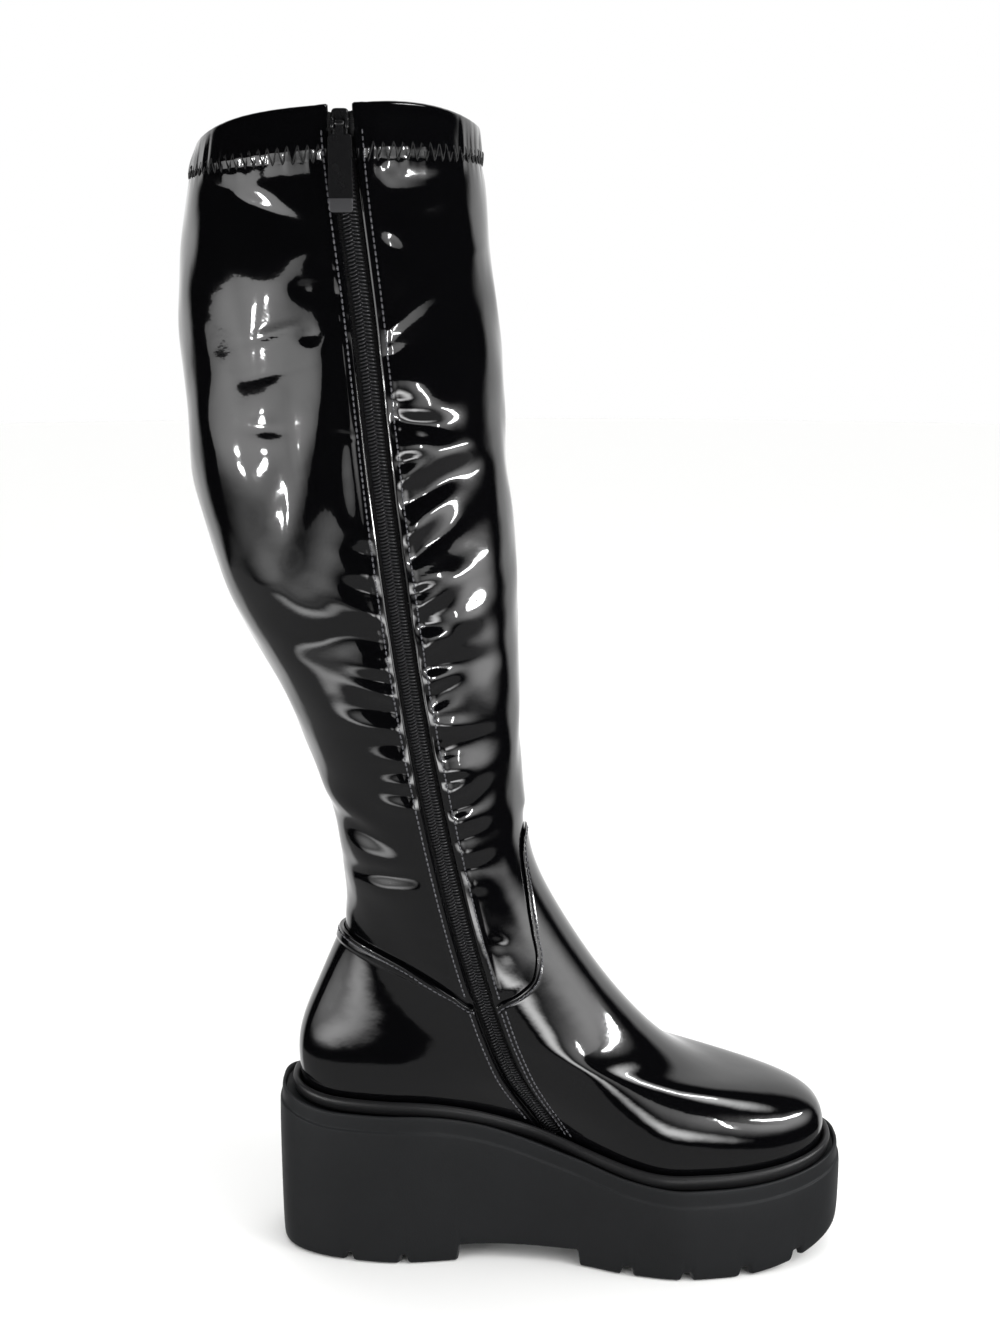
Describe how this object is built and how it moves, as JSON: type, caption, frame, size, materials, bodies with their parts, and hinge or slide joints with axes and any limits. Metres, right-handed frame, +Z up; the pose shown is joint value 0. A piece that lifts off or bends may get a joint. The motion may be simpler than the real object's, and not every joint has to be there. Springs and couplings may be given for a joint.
{
  "type": "platform boot",
  "caption": "Tall patent boot for the left foot on a thick cleated wedge sole, closed by a zip along its inner side, with a swinging pull tab at the collar.",
  "frame": {"origin": "on the floor, under the middle of the heel's tread", "axes": "+X towards the toe, +Z up, -Y the inner (medial) side that has the zip"},
  "size_m": [0.3055, 0.1107, 0.5233],
  "materials": {
    "patent": "high-gloss black patent with a clear coat",
    "sole_rubber": "matte moulded charcoal black",
    "welt_rubber": "satin black",
    "lining": "black woven lining",
    "zip_tape": "black woven tape",
    "zip_nylon": "black nylon coil",
    "zip_metal": "black enamel on a die casting"
  },
  "bodies": {
    "boot": {"sole": "sole_rubber", "welt": "welt_rubber", "insole": "lining", "upper": "patent", "vamp": "patent", "counter": "patent", "zip_tape": "zip_tape", "zip_coil": "zip_nylon", "zip_slider": "zip_metal"},
    "pull": {"zip_pull": "zip_metal"}
  },
  "joints": [
    {"name": "pull_swing", "type": "hinge", "parent": "boot", "child": "pull", "pos_m": [-0.00113, -0.05567, 0.5165], "axis": [-1, 0, 0], "range_deg": [0, 150]}
  ]
}
